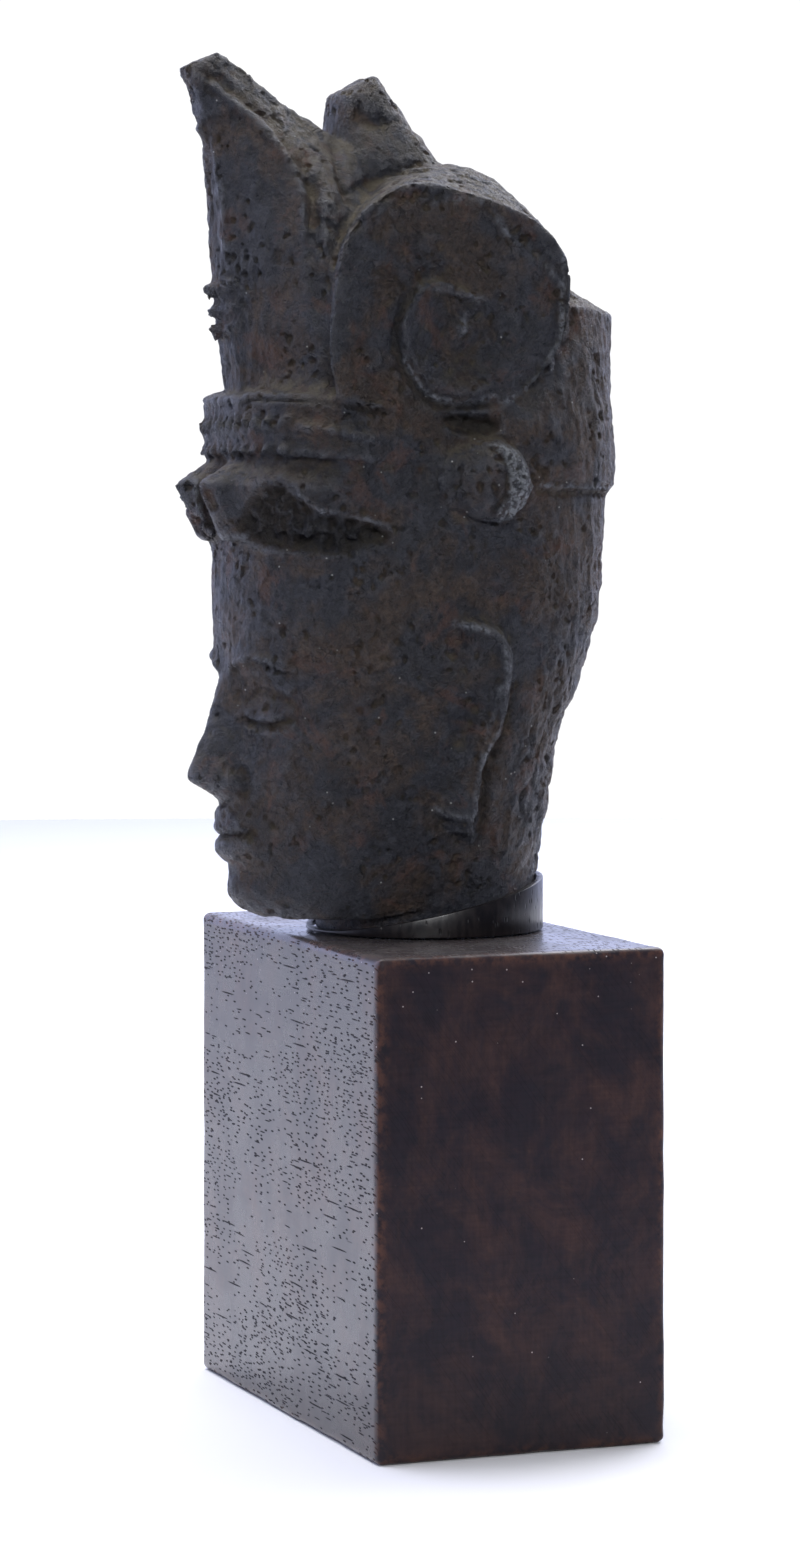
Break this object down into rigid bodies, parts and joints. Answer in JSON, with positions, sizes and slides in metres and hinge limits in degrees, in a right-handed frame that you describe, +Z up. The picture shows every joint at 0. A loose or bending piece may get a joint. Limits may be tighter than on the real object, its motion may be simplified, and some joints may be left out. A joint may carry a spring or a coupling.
{
  "type": "buddha head sculpture",
  "caption": "Crowned cast-iron head with a tall front leaf, broken spike, side scrolls, head band, side knobs and long ears, its neck in a slanted collar on a dark wooden block.",
  "frame": {"origin": "centre of the wooden block's underside", "axes": "+Z up, the face looks along -Y, +X is the head's own left side"},
  "size_m": [0.077, 0.0678, 0.2018],
  "materials": {
    "worn_iron": "weathered dark brown-black iron, satin on raised parts, rusty and dusty in hollows",
    "collar_stain": "thin dark stained collar, satin",
    "block_stain": "dark brown stain over open-pored wood, waxed"
  },
  "bodies": {
    "root": {"iron_head": "worn_iron", "neck_collar": "collar_stain", "wood_block": "block_stain"}
  },
  "joints": []
}
